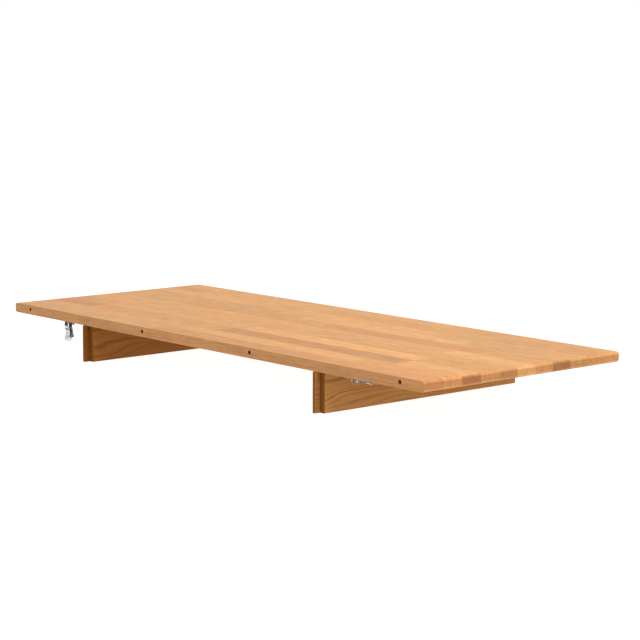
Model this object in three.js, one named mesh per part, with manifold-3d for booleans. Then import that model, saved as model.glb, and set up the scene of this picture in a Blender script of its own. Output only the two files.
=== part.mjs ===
// Clip-on end leaf for a dining table: a glued oak panel on two upright bearers, with a toggle
// catch near each end that pulls the leaf's flat edge against the table.
// Millimetres, +Z up. +X runs along the leaf, -Y is the flat edge that meets the table.
// Origin: middle of the leaf's footprint, level with the undersides of the bearers.
import * as THREE from 'three';
import { mergeVertices } from 'three/addons/utils/BufferGeometryUtils.js';
import Module from 'manifold-3d';

// Panel
const PANEL_LENGTH = 1300;
const PANEL_DEPTH = 500;
const PANEL_THICKNESS = 20;
const ARRIS_RADIUS = 6; // rounds the two short ends and the outer long edge; the flat edge stays square
const CORNER_RADIUS = 8; // outer corners, in plan

// Dowel sockets drilled into the flat edge
const SOCKET_RADIUS = 4;
const SOCKET_DEPTH = 30;
const SOCKET_BELOW_TOP = 9; // top face to socket centre
const OUTER_SOCKET_INSET = 60; // from each end
const INNER_SOCKET_INSET = 476.5; // from each end

// Bearers, standing on edge under the panel, with a tongue that enters the table's frame
const BEARER_INSET = 278; // from each end of the panel to the bearer's middle
const BEARER_THICKNESS = 20;
const BEARER_HEIGHT = 76;
const BEARER_ARRIS = 2;
const BEARER_REAR_INSET = 2; // outer edge of the panel to the bearer's rear end
const TONGUE_THICKNESS = 7;
const TONGUE_PROUD = 4; // how far the tongue stands out past the flat edge
const SHOULDER_INSET = 8; // flat edge to the shoulder beside the tongue

// Bearer screws, sunk in counterbores from below
const BEARER_SCREW_END_INSET = 62; // flat edge, or the bearer's rear end, to the nearest screw
const BEARER_SCREW_LENGTH = 42; // under the head
const BEARER_SCREW_BITE = 12; // how deep the screw enters the panel
const BEARER_SCREW_RADIUS = 2;
const BEARER_SCREW_HEAD_RADIUS = 4;
const BEARER_SCREW_HEAD_HEIGHT = 2.6;

// Toggle catches
const CATCH_INSET = 188; // from each end of the panel to the catch's middle
const PLATE_INSET = 7.5; // flat edge to the front of the base plate
const SHEET = 1.2; // thickness of the pressed steel
const PLATE_LENGTH = 33;
const PLATE_WIDTH = 16;
const PIVOT_BEHIND_PLATE_FRONT = 5;
const RAIL_ROUND = 2.9; // half-width of a rail's rounded end around the pivot pin
const RAIL_LENGTH = 7; // behind the pivot
const PIN_RADIUS = 1.3;
const LEVER_WIDTH = 17;
const LEVER_ROUND = 3.6; // half-width of the lever's side walls at the pivot
const LEVER_LENGTH = 31; // pivot to the foot of the side walls
const LEVER_HEEL_RADIUS = 3; // rounds the foot of the side walls
const LEVER_CURL = 5.4; // how far the finger tab curls out
const CURL_START = 0.76; // share of the lever's length where the curl begins
const WALL_BEND = 0.9; // share of the length where the walls' front edge turns outward
const TAB_OUTER_BEND = 0.92; // the same for the tab's outer face
const TAB_INNER_BEND = 0.94; // and for its inner face
const TAB_TIP_ACROSS = 0.6; // slant of the tab's cut tip, as shares of the sheet's thickness
const TAB_TIP_DOWN = 0.8;
const WEB_START = 5; // pivot to the upper end of the lever's front wall
const BAIL_PIVOT_DROP = 7; // lever pivot to bail pivot
const WIRE_RADIUS = 1.2;
const BAIL_BOW = 4; // how far the bail's legs bow out
const BAIL_CORNER = 3;
const BAIL_LEG_STEPS = 8;
const BAIL_PATH_STEPS = 60;
const WIRE_STEPS = 4; // facets in each quarter of the wire's section
const CATCH_TONGUE_WIDTH = 11.5; // tongue that enters the closed lever's slot
const CATCH_TONGUE_CORNER = 1.5;
const CATCH_TONGUE_DROP = 10.8; // below the panel
const CATCH_TONGUE_BEHIND_PIVOT = 11.4;
const CATCH_SCREW_RADIUS = 1.5;
const CATCH_SCREW_HEAD_RADIUS = 3;
const CATCH_SCREW_HEAD_HEIGHT = 1.8;
const CATCH_SCREW_LENGTH = 13; // under the head
const FRONT_SCREW_BEHIND_PIVOT = 5;
const REAR_SCREW_BEHIND_PIVOT = 21.5;

// Screws, as shares of the shank's radius or the head's radius and height
const POINT_LENGTH = 1.6;
const HEAD_RIM = 0.35;
const RECESS_REACH = 0.5;
const RECESS_HALF_SLOT = 0.11;
const RECESS_FLOOR = 0.45;

// Rest position of each catch: tilt of the lever and of the bail, from hanging (0) to folded back (90)
const HANGING_LEVER_TILT = 10;
const HANGING_BAIL_TILT = -6;
const FOLDED_LEVER_TILT = 90;
const FOLDED_BAIL_TILT = 74;

// Clearances
const HOLE_CLEARANCE = 0.2; // on radius, round screws, pins and wire
const COUNTERBORE_CLEARANCE = 0.5; // on radius, round a sunk head
const RUNNING_GAP = 0.4; // between parts that swing past each other
const BAIL_SIDE_GAP = 0.7; // lever's side walls to the bail's legs
const BAIL_TIP_CLEARANCE = 1; // lever's finger tab to the bail's crossbar
const PILOT_EXTRA = 0.5; // hole depth beyond a screw's tip
const BREAKTHROUGH = 1; // how far a cutting shape runs past the face it opens

// Derived sizes
const UNDERSIDE = BEARER_HEIGHT; // height of the panel's lower face
const PIVOT_DROP = SHEET + RUNNING_GAP + LEVER_ROUND; // panel's lower face to the lever pivot
const WEB_OFFSET = RAIL_ROUND + RUNNING_GAP + SHEET; // lever pivot to the outside of its front wall
const TAB_REACH = Math.hypot(LEVER_LENGTH + SHEET - BAIL_PIVOT_DROP, WEB_OFFSET + LEVER_CURL);
const BAIL_LENGTH = TAB_REACH + BAIL_TIP_CLEARANCE + WIRE_RADIUS;
const LEG_X = LEVER_WIDTH / 2 + BAIL_SIDE_GAP + WIRE_RADIUS; // middle of a bail leg
const ROUND_STEPS = 16;
const ARC_STEPS = 6;

const oak = new THREE.MeshStandardMaterial({ color: 0xd9a066, roughness: 0.55, metalness: 0 });
const darkOak = new THREE.MeshStandardMaterial({ color: 0x9b6a3c, roughness: 0.6, metalness: 0 });
const platedSteel = new THREE.MeshStandardMaterial({ color: 0xc9ccd0, roughness: 0.3, metalness: 1 });
const screwSteel = new THREE.MeshStandardMaterial({ color: 0xb9b9b4, roughness: 0.35, metalness: 1 });

const wasm = await Module();
wasm.setup();

/** Closed geometry as a manifold solid. */
function solid(geometry) {
  const bare = geometry.clone();
  bare.deleteAttribute('normal');
  bare.deleteAttribute('uv');
  const merged = mergeVertices(bare, 1e-4);
  const corners = merged.index.array;
  const kept = [];
  for (let i = 0; i < corners.length; i += 3) {
    const [a, b, c] = [corners[i], corners[i + 1], corners[i + 2]];
    if (a !== b && b !== c && c !== a) kept.push(a, b, c);
  }
  const vertProperties = merged.attributes.position.array;
  return new wasm.Manifold(new wasm.Mesh({ numProp: 3, vertProperties, triVerts: new Uint32Array(kept) }));
}

/** Manifold solid as a geometry. */
function geometryOf(body) {
  const { vertProperties, triVerts } = body.getMesh();
  const geometry = new THREE.BufferGeometry();
  geometry.setAttribute('position', new THREE.BufferAttribute(vertProperties, 3));
  geometry.setIndex(new THREE.BufferAttribute(triVerts, 1));
  geometry.computeVertexNormals();
  return geometry;
}

/** Joins the first list of geometries, then cuts away the second. */
function shaped(joined, cutters = []) {
  let body = solid(joined[0]);
  for (const piece of joined.slice(1)) body = body.add(solid(piece));
  for (const cutter of cutters) body = body.subtract(solid(cutter));
  return geometryOf(body);
}

/** Box between two opposite corners. */
function block([x0, y0, z0], [x1, y1, z1]) {
  const box = new THREE.BoxGeometry(x1 - x0, y1 - y0, z1 - z0);
  return box.translate((x0 + x1) / 2, (y0 + y1) / 2, (z0 + z1) / 2);
}

/** Round bar along an axis, from one end point over a length. */
function bar(axis, radius, [x, y, z], length) {
  const cylinder = new THREE.CylinderGeometry(radius, radius, length, ROUND_STEPS);
  cylinder.translate(0, length / 2, 0);
  if (axis === 'x') cylinder.rotateZ(-Math.PI / 2);
  if (axis === 'z') cylinder.rotateX(Math.PI / 2);
  return cylinder.translate(x, y, z);
}

/** Outline drawn in Y and Z, extruded along X from x0 over a width. */
function sidePlate(outline, x0, width) {
  const settings = { depth: width, bevelEnabled: false, curveSegments: ARC_STEPS };
  const plate = new THREE.ExtrudeGeometry(outline, settings);
  const [x, y, z] = [new THREE.Vector3(1, 0, 0), new THREE.Vector3(0, 1, 0), new THREE.Vector3(0, 0, 1)];
  plate.applyMatrix4(new THREE.Matrix4().makeBasis(y, z, x));
  return plate.translate(x0, 0, 0);
}

/** Outline drawn in X and Z, extruded towards -Y from y1 over a length. */
function crossPlate(outline, y1, length) {
  const settings = { depth: length, bevelEnabled: false, curveSegments: ARC_STEPS };
  const plate = new THREE.ExtrudeGeometry(outline, settings);
  return plate.rotateX(Math.PI / 2).translate(0, y1, 0);
}

/** Upright plate outline, width centred on 0, from z0 up to z1, with its lower corners rounded. */
function roundedFoot(width, z0, z1, radius) {
  const half = width / 2;
  const outline = new THREE.Shape();
  outline.moveTo(-half, z1);
  outline.lineTo(-half, z0 + radius);
  outline.absarc(-half + radius, z0 + radius, radius, Math.PI, 1.5 * Math.PI, false);
  outline.absarc(half - radius, z0 + radius, radius, 1.5 * Math.PI, 2 * Math.PI, false);
  outline.lineTo(half, z1);
  outline.closePath();
  return outline;
}

/** Distances along the leaf, from its middle, of a pair set in from both ends. */
function mirroredPair(inset) {
  return [-(PANEL_LENGTH / 2 - inset), PANEL_LENGTH / 2 - inset];
}

/** Places of the screws along a bearer, from the flat edge. */
function bearerScrewPlaces() {
  const first = BEARER_SCREW_END_INSET;
  const last = PANEL_DEPTH - BEARER_REAR_INSET - BEARER_SCREW_END_INSET;
  return [first, (first + last) / 2, last];
}

function panel() {
  const half = PANEL_LENGTH / 2;
  const spare = CORNER_RADIUS + ARRIS_RADIUS; // trimmed off to leave the flat edge square
  const arris = Math.min(ARRIS_RADIUS, PANEL_THICKNESS / 2 - BREAKTHROUGH);
  const outline = new THREE.Shape();
  outline.moveTo(-half, -spare);
  outline.lineTo(half, -spare);
  const [cornerX, cornerY] = [half - CORNER_RADIUS, PANEL_DEPTH - CORNER_RADIUS];
  outline.lineTo(half, cornerY);
  outline.absarc(cornerX, cornerY, CORNER_RADIUS, 0, Math.PI / 2, false);
  outline.absarc(-cornerX, cornerY, CORNER_RADIUS, Math.PI / 2, Math.PI, false);
  outline.closePath();
  const slab = new THREE.ExtrudeGeometry(outline, {
    depth: PANEL_THICKNESS - 2 * arris,
    bevelThickness: arris,
    bevelSize: arris,
    bevelOffset: -arris,
    bevelSegments: ARC_STEPS,
    curveSegments: ARC_STEPS,
  });
  slab.translate(0, 0, UNDERSIDE + arris);

  const cutters = [];
  const far = half + BREAKTHROUGH;
  const [below, above] = [UNDERSIDE - BREAKTHROUGH, UNDERSIDE + PANEL_THICKNESS + BREAKTHROUGH];
  cutters.push(block([-far, -spare - BREAKTHROUGH, below], [far, 0, above]));
  const socketHeight = UNDERSIDE + PANEL_THICKNESS - SOCKET_BELOW_TOP;
  for (const x of [...mirroredPair(OUTER_SOCKET_INSET), ...mirroredPair(INNER_SOCKET_INSET)]) {
    cutters.push(bar('y', SOCKET_RADIUS, [x, -BREAKTHROUGH, socketHeight], SOCKET_DEPTH + BREAKTHROUGH));
  }
  const pilot = (x, y, radius, bite) =>
    bar('z', radius + HOLE_CLEARANCE, [x, y, UNDERSIDE - BREAKTHROUGH], bite + PILOT_EXTRA + BREAKTHROUGH);
  for (const x of mirroredPair(BEARER_INSET)) {
    for (const y of bearerScrewPlaces()) cutters.push(pilot(x, y, BEARER_SCREW_RADIUS, BEARER_SCREW_BITE));
  }
  for (const x of mirroredPair(CATCH_INSET)) {
    for (const behind of [FRONT_SCREW_BEHIND_PIVOT, REAR_SCREW_BEHIND_PIVOT]) {
      const y = PLATE_INSET + PIVOT_BEHIND_PLATE_FRONT + behind;
      cutters.push(pilot(x, y, CATCH_SCREW_RADIUS, CATCH_SCREW_LENGTH - SHEET));
    }
  }
  return shaped([slab], cutters);
}

function bearer() {
  const rear = PANEL_DEPTH - BEARER_REAR_INSET;
  const board = crossPlate(
    roundedFoot(BEARER_THICKNESS, 0, BEARER_HEIGHT, BEARER_ARRIS), rear, rear + TONGUE_PROUD);
  const half = BEARER_THICKNESS / 2;
  const rebate = block(
    [TONGUE_THICKNESS - half, -TONGUE_PROUD - BREAKTHROUGH, -BREAKTHROUGH],
    [half + BREAKTHROUGH, SHOULDER_INSET, BEARER_HEIGHT + BREAKTHROUGH]);
  const cutters = [rebate];
  const seat = UNDERSIDE + BEARER_SCREW_BITE - BEARER_SCREW_LENGTH; // height of the head's seat
  for (const y of bearerScrewPlaces()) {
    const bore = BEARER_SCREW_HEAD_RADIUS + COUNTERBORE_CLEARANCE;
    cutters.push(bar('z', bore, [0, y, -BREAKTHROUGH], seat + BREAKTHROUGH));
    cutters.push(bar('z', BEARER_SCREW_RADIUS + HOLE_CLEARANCE, [0, y, 0], BEARER_HEIGHT + BREAKTHROUGH));
  }
  return shaped([board], cutters);
}

/** Screw pointing up, head seat at height 0, with a cross recess in a domed head. */
function screw(radius, length, headRadius, headHeight) {
  const point = radius * POINT_LENGTH;
  const rim = headHeight * HEAD_RIM;
  const profile = [[0, -headHeight]];
  for (let i = 1; i <= ARC_STEPS; i += 1) {
    const angle = (i / ARC_STEPS) * (Math.PI / 2);
    profile.push([headRadius * Math.sin(angle), -rim - (headHeight - rim) * Math.cos(angle)]);
  }
  profile.push([headRadius, 0], [radius, 0], [radius, length - point], [0, length]);
  const turned = new THREE.LatheGeometry(profile.map(([r, z]) => new THREE.Vector2(r, z)), ROUND_STEPS);
  turned.rotateX(Math.PI / 2);
  const [arm, slot] = [headRadius * RECESS_REACH, headRadius * RECESS_HALF_SLOT];
  const floor = -headHeight * RECESS_FLOOR;
  const bottom = -headHeight - BREAKTHROUGH;
  return shaped([turned], [
    block([-arm, -slot, bottom], [arm, slot, floor]),
    block([-slot, -arm, bottom], [slot, arm, floor]),
  ]);
}

/** Base of a catch: plate with two rails and a tongue. Its origin is the lever pivot. */
function catchBase() {
  const plateFront = -PIVOT_BEHIND_PLATE_FRONT;
  const plateLow = PIVOT_DROP - SHEET;
  const plate = block(
    [-PLATE_WIDTH / 2, plateFront, plateLow], [PLATE_WIDTH / 2, plateFront + PLATE_LENGTH, PIVOT_DROP]);
  const rail = new THREE.Shape();
  rail.moveTo(-RAIL_ROUND, plateLow + SHEET / 2);
  rail.lineTo(-RAIL_ROUND, 0);
  rail.absarc(0, 0, RAIL_ROUND, Math.PI, 1.5 * Math.PI, false);
  rail.lineTo(RAIL_LENGTH - RAIL_ROUND, -RAIL_ROUND);
  rail.absarc(RAIL_LENGTH - RAIL_ROUND, 0, RAIL_ROUND, 1.5 * Math.PI, 2 * Math.PI, false);
  rail.lineTo(RAIL_LENGTH, plateLow + SHEET / 2);
  rail.closePath();
  const railOuter = LEVER_WIDTH / 2 - SHEET - RUNNING_GAP;
  const tongueRear = CATCH_TONGUE_BEHIND_PIVOT + SHEET;
  const tongueLow = PIVOT_DROP - CATCH_TONGUE_DROP;
  const tongue = roundedFoot(CATCH_TONGUE_WIDTH, tongueLow, plateLow + SHEET / 2, CATCH_TONGUE_CORNER);
  const joined = [
    plate,
    sidePlate(rail, -railOuter, SHEET),
    sidePlate(rail, railOuter - SHEET, SHEET),
    crossPlate(tongue, tongueRear, SHEET),
  ];
  const cutters = [bar('x', PIN_RADIUS + HOLE_CLEARANCE, [-LEVER_WIDTH, 0, 0], 2 * LEVER_WIDTH)];
  for (const y of [FRONT_SCREW_BEHIND_PIVOT, REAR_SCREW_BEHIND_PIVOT]) {
    const through = SHEET + 2 * BREAKTHROUGH;
    cutters.push(bar('z', CATCH_SCREW_RADIUS + HOLE_CLEARANCE, [0, y, plateLow - BREAKTHROUGH], through));
  }
  return shaped(joined, cutters);
}

/** Lever of a catch, hanging, with its front wall towards -Y. Its origin is its pivot. */
function catchLever() {
  const [front, inner] = [-WEB_OFFSET, SHEET - WEB_OFFSET];
  const curlStart = -LEVER_LENGTH * CURL_START;
  const wall = new THREE.Shape();
  wall.absarc(0, 0, LEVER_ROUND, 0, Math.PI, false);
  wall.quadraticCurveTo(-LEVER_ROUND, -WEB_START / 2, front, -WEB_START);
  wall.lineTo(front, curlStart);
  wall.quadraticCurveTo(front, -LEVER_LENGTH * WALL_BEND, front - SHEET, -LEVER_LENGTH + SHEET);
  const [heelY, heelZ] = [LEVER_ROUND - LEVER_HEEL_RADIUS, LEVER_HEEL_RADIUS - LEVER_LENGTH];
  wall.lineTo(heelY, -LEVER_LENGTH);
  wall.absarc(heelY, heelZ, LEVER_HEEL_RADIUS, 1.5 * Math.PI, 2 * Math.PI, false);
  wall.closePath();
  const web = new THREE.Shape();
  web.moveTo(inner, -WEB_START);
  web.lineTo(front, -WEB_START);
  web.lineTo(front, curlStart);
  web.quadraticCurveTo(front, -LEVER_LENGTH * TAB_OUTER_BEND, front - LEVER_CURL, -LEVER_LENGTH);
  web.lineTo(front - LEVER_CURL + SHEET * TAB_TIP_ACROSS, -LEVER_LENGTH - SHEET * TAB_TIP_DOWN);
  web.quadraticCurveTo(inner, -LEVER_LENGTH * TAB_INNER_BEND, inner, curlStart);
  web.closePath();
  const half = LEVER_WIDTH / 2;
  const joined = [
    sidePlate(wall, -half, SHEET),
    sidePlate(wall, half - SHEET, SHEET),
    sidePlate(web, -half, LEVER_WIDTH),
  ];
  const slotHalf = CATCH_TONGUE_WIDTH / 2 + RUNNING_GAP;
  const slotLow = -(CATCH_TONGUE_BEHIND_PIVOT + SHEET + 2 * RUNNING_GAP);
  const slotHigh = RUNNING_GAP - CATCH_TONGUE_BEHIND_PIVOT;
  const across = (radius, z) => bar('x', radius + HOLE_CLEARANCE, [-LEVER_WIDTH, 0, z], 2 * LEVER_WIDTH);
  return shaped(joined, [
    across(PIN_RADIUS, 0),
    across(WIRE_RADIUS, -BAIL_PIVOT_DROP),
    block([-slotHalf, front - BREAKTHROUGH, slotLow], [slotHalf, inner + BREAKTHROUGH, slotHigh]),
  ]);
}

/** Wire bail, hanging, with its legs bowed towards +Y. Its origin is the line of its two pivot ends. */
function catchBail() {
  const stub = LEVER_WIDTH / 2 - SHEET + HOLE_CLEARANCE / 2;
  const point = (x, y, z) => new THREE.Vector3(x, y, z);
  const path = new THREE.CurvePath();
  const legBow = (z) => 4 * BAIL_BOW * (-z / BAIL_LENGTH) * (1 + z / BAIL_LENGTH);
  const leg = (sign, steps) => {
    const places = [];
    for (let i = 0; i <= steps; i += 1) {
      const z = -BAIL_CORNER - (i / steps) * (BAIL_LENGTH - 2 * BAIL_CORNER);
      places.push(point(sign * LEG_X, legBow(z), z));
    }
    return places;
  };
  const left = leg(-1, BAIL_LEG_STEPS);
  const right = leg(1, BAIL_LEG_STEPS).reverse();
  const shoulder = (sign) => point(sign * LEG_X, 0, 0);
  const foot = (sign) => point(sign * LEG_X, 0, -BAIL_LENGTH);
  const inward = (sign, z) => point(sign * (LEG_X - BAIL_CORNER), 0, z);
  const stubInner = (sign) => point(sign * stub, 0, 0);
  const shoulderIn = (sign) => point((sign * LEVER_WIDTH) / 2, 0, 0);
  path.add(new THREE.LineCurve3(stubInner(-1), shoulderIn(-1)));
  path.add(new THREE.QuadraticBezierCurve3(shoulderIn(-1), shoulder(-1), left[0]));
  path.add(new THREE.CatmullRomCurve3(left));
  path.add(new THREE.QuadraticBezierCurve3(left.at(-1), foot(-1), inward(-1, -BAIL_LENGTH)));
  path.add(new THREE.LineCurve3(inward(-1, -BAIL_LENGTH), inward(1, -BAIL_LENGTH)));
  path.add(new THREE.QuadraticBezierCurve3(inward(1, -BAIL_LENGTH), foot(1), right[0]));
  path.add(new THREE.CatmullRomCurve3(right));
  path.add(new THREE.QuadraticBezierCurve3(right.at(-1), shoulder(1), shoulderIn(1)));
  path.add(new THREE.LineCurve3(shoulderIn(1), stubInner(1)));
  const section = new THREE.Shape();
  section.absarc(0, 0, WIRE_RADIUS, 0, 2 * Math.PI, false);
  const settings = { steps: BAIL_PATH_STEPS, curveSegments: WIRE_STEPS, extrudePath: path };
  return new THREE.ExtrudeGeometry(section, settings);
}

const leaf = new THREE.Group();
leaf.position.y = -(PANEL_DEPTH - TONGUE_PROUD) / 2;

/** Adds one named piece. */
function add(parent, name, geometry, material, place = [0, 0, 0], tilt = 0) {
  const mesh = new THREE.Mesh(geometry, material.clone());
  mesh.name = name;
  mesh.position.set(...place);
  mesh.rotation.x = THREE.MathUtils.degToRad(tilt);
  parent.add(mesh);
}

/** Adds a toggle catch, its group standing at the lever pivot. */
function addCatch(side, x, leverTilt, bailTilt) {
  const group = new THREE.Group();
  group.position.set(x, PLATE_INSET + PIVOT_BEHIND_PLATE_FRONT, UNDERSIDE - PIVOT_DROP);
  leaf.add(group);
  const plateLow = PIVOT_DROP - SHEET;
  const tilt = THREE.MathUtils.degToRad(leverTilt);
  const bailPivot = [0, BAIL_PIVOT_DROP * Math.sin(tilt), -BAIL_PIVOT_DROP * Math.cos(tilt)];
  const pinLength = LEVER_WIDTH - HOLE_CLEARANCE;
  const fixing = () =>
    screw(CATCH_SCREW_RADIUS, CATCH_SCREW_LENGTH, CATCH_SCREW_HEAD_RADIUS, CATCH_SCREW_HEAD_HEIGHT);
  add(group, `${side}_catch_base`, catchBase(), platedSteel);
  add(group, `${side}_catch_pin`, bar('x', PIN_RADIUS, [-pinLength / 2, 0, 0], pinLength), screwSteel);
  add(group, `${side}_catch_front_screw`, fixing(), screwSteel, [0, FRONT_SCREW_BEHIND_PIVOT, plateLow]);
  add(group, `${side}_catch_rear_screw`, fixing(), screwSteel, [0, REAR_SCREW_BEHIND_PIVOT, plateLow]);
  add(group, `${side}_catch_lever`, catchLever(), platedSteel, [0, 0, 0], leverTilt);
  add(group, `${side}_catch_bail`, catchBail(), screwSteel, bailPivot, bailTilt);
}

add(leaf, 'top_panel', panel(), oak);
const [leftBearer, rightBearer] = mirroredPair(BEARER_INSET);
const screwSeat = UNDERSIDE + BEARER_SCREW_BITE - BEARER_SCREW_LENGTH;
for (const [side, x] of [['left', leftBearer], ['right', rightBearer]]) {
  add(leaf, `${side}_bearer`, bearer(), darkOak, [x, 0, 0]);
  bearerScrewPlaces().forEach((y, index) => {
    const fixing = screw(
      BEARER_SCREW_RADIUS, BEARER_SCREW_LENGTH, BEARER_SCREW_HEAD_RADIUS, BEARER_SCREW_HEAD_HEIGHT);
    add(leaf, `${side}_bearer_screw_${index + 1}`, fixing, screwSteel, [x, y, screwSeat]);
  });
}
const [leftCatch, rightCatch] = mirroredPair(CATCH_INSET);
addCatch('left', leftCatch, HANGING_LEVER_TILT, HANGING_BAIL_TILT);
addCatch('right', rightCatch, FOLDED_LEVER_TILT, FOLDED_BAIL_TILT);

export default leaf;
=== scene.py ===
"""Clip-on oak leaf for a dining table: its looks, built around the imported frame.

The leaf is a glued panel of oak staves on two upright bearers, with a toggle catch near each end.
Every size below is in millimetres unless its name says otherwise; finished meshes are in metres.
"""

import logging
import math
import random
from collections.abc import Sequence
from dataclasses import dataclass, field
from enum import Enum

import bmesh
import bpy
from mathutils import Matrix, Vector


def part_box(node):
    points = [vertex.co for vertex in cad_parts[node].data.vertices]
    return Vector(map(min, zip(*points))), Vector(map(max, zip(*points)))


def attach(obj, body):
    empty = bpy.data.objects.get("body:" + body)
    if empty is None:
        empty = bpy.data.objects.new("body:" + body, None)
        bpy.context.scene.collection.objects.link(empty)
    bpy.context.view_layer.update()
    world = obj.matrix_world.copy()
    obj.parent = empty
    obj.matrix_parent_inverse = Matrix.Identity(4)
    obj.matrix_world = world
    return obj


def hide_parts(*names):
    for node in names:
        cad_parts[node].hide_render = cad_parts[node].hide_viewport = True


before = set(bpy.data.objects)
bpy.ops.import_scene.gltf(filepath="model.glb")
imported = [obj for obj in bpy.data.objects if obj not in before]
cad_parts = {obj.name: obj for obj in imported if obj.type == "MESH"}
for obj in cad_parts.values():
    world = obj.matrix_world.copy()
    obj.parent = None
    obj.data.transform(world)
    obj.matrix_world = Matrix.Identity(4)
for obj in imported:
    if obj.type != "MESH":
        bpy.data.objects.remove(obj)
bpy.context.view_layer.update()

MM = 0.001
TO_MM = 1000.0
WELD = 1e-3  # vertices closer than this are one
PAST = 1.0  # how far a cutter runs past the face it opens
SIDES = ("left", "right")
BEARER_HOLE = 2.2  # radius of a bearer screw's hole
CATCH_HOLE = 1.7  # radius of a catch screw's hole
SCREW_HOLES = {
    "bearer_screw_1": BEARER_HOLE, "bearer_screw_2": BEARER_HOLE, "bearer_screw_3": BEARER_HOLE,
    "catch_front_screw": CATCH_HOLE, "catch_rear_screw": CATCH_HOLE}
ROUND_SIDES = 32  # facets around a bar or a turned piece
HOLE_SIDES = 16  # facets around a screw hole
CORNER_STEPS = 6  # facets of a plate's rounded corner
RIM_STEPS = 8  # facets of the panel's roundings
ARRIS_STEPS = 4
EASED_STEPS = 3
BREAK_STEPS = 2
SHARP_DEG = 32.0  # faces that meet at more than this stay crisp
BREAK_DEG = 40.0  # edges sharper than this are broken
NEAR_FULL = 0.98  # a rounding just short of the whole half-width
MIDDLE = 0.5  # the middle value of a noise or a draw
log = logging.getLogger("leaf")

Pair = tuple[float, float]
Triple = Colour = tuple[float, float, float]
Corner = Triple  # two coordinates in the plate's plane, and how far its rounding reaches
Place = Sequence[float]
Material = bpy.types.Material
Mesh = bmesh.types.BMesh
Number = "float | Wire"


# ---- shader bench


class Wire:
    """A node's output that can be used in sums."""

    def __init__(self, bench: "Bench", socket: bpy.types.NodeSocket) -> None:
        """Keeps the socket and the bench it belongs to."""
        self.bench = bench
        self.socket = socket

    def _sum(self, operation: str, *values: Number) -> "Wire":
        """One Math node.

        Args:
            operation: the Math node's operation.
            values: its inputs in order, numbers or wires.

        Returns:
            The node's value.
        """
        node = self.bench.node("Math", {"operation": operation})
        for place, value in enumerate(values):
            self.bench.feed(node.inputs[place], value)
        return Wire(self.bench, node.outputs[0])

    def put(self, operation: str, *others: Number) -> "Wire":
        """Any other sum that starts with self."""
        return self._sum(operation, self, *others)

    def __add__(self, other: Number) -> "Wire":
        """self + other."""
        return self._sum("ADD", self, other)

    def __radd__(self, other: Number) -> "Wire":
        """other + self."""
        return self._sum("ADD", other, self)

    def __sub__(self, other: Number) -> "Wire":
        """self - other."""
        return self._sum("SUBTRACT", self, other)

    def __rsub__(self, other: Number) -> "Wire":
        """other - self."""
        return self._sum("SUBTRACT", other, self)

    def __mul__(self, other: Number) -> "Wire":
        """self * other."""
        return self._sum("MULTIPLY", self, other)

    def __truediv__(self, other: Number) -> "Wire":
        """self / other."""
        return self._sum("DIVIDE", self, other)

    def __abs__(self) -> "Wire":
        """Size without sign."""
        return self._sum("ABSOLUTE", self)

    def ease(self, low: float, high: float) -> "Wire":
        """Smooth step; a low above high runs the other way.

        Args:
            low: value that gives 0.
            high: value that gives 1.

        Returns:
            The step.
        """
        settings = {"interpolation_type": "SMOOTHSTEP"}
        node = self.bench.node("MapRange", settings, Value=self, From_Min=low, From_Max=high)
        return self.bench.out(node, "Result")


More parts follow.
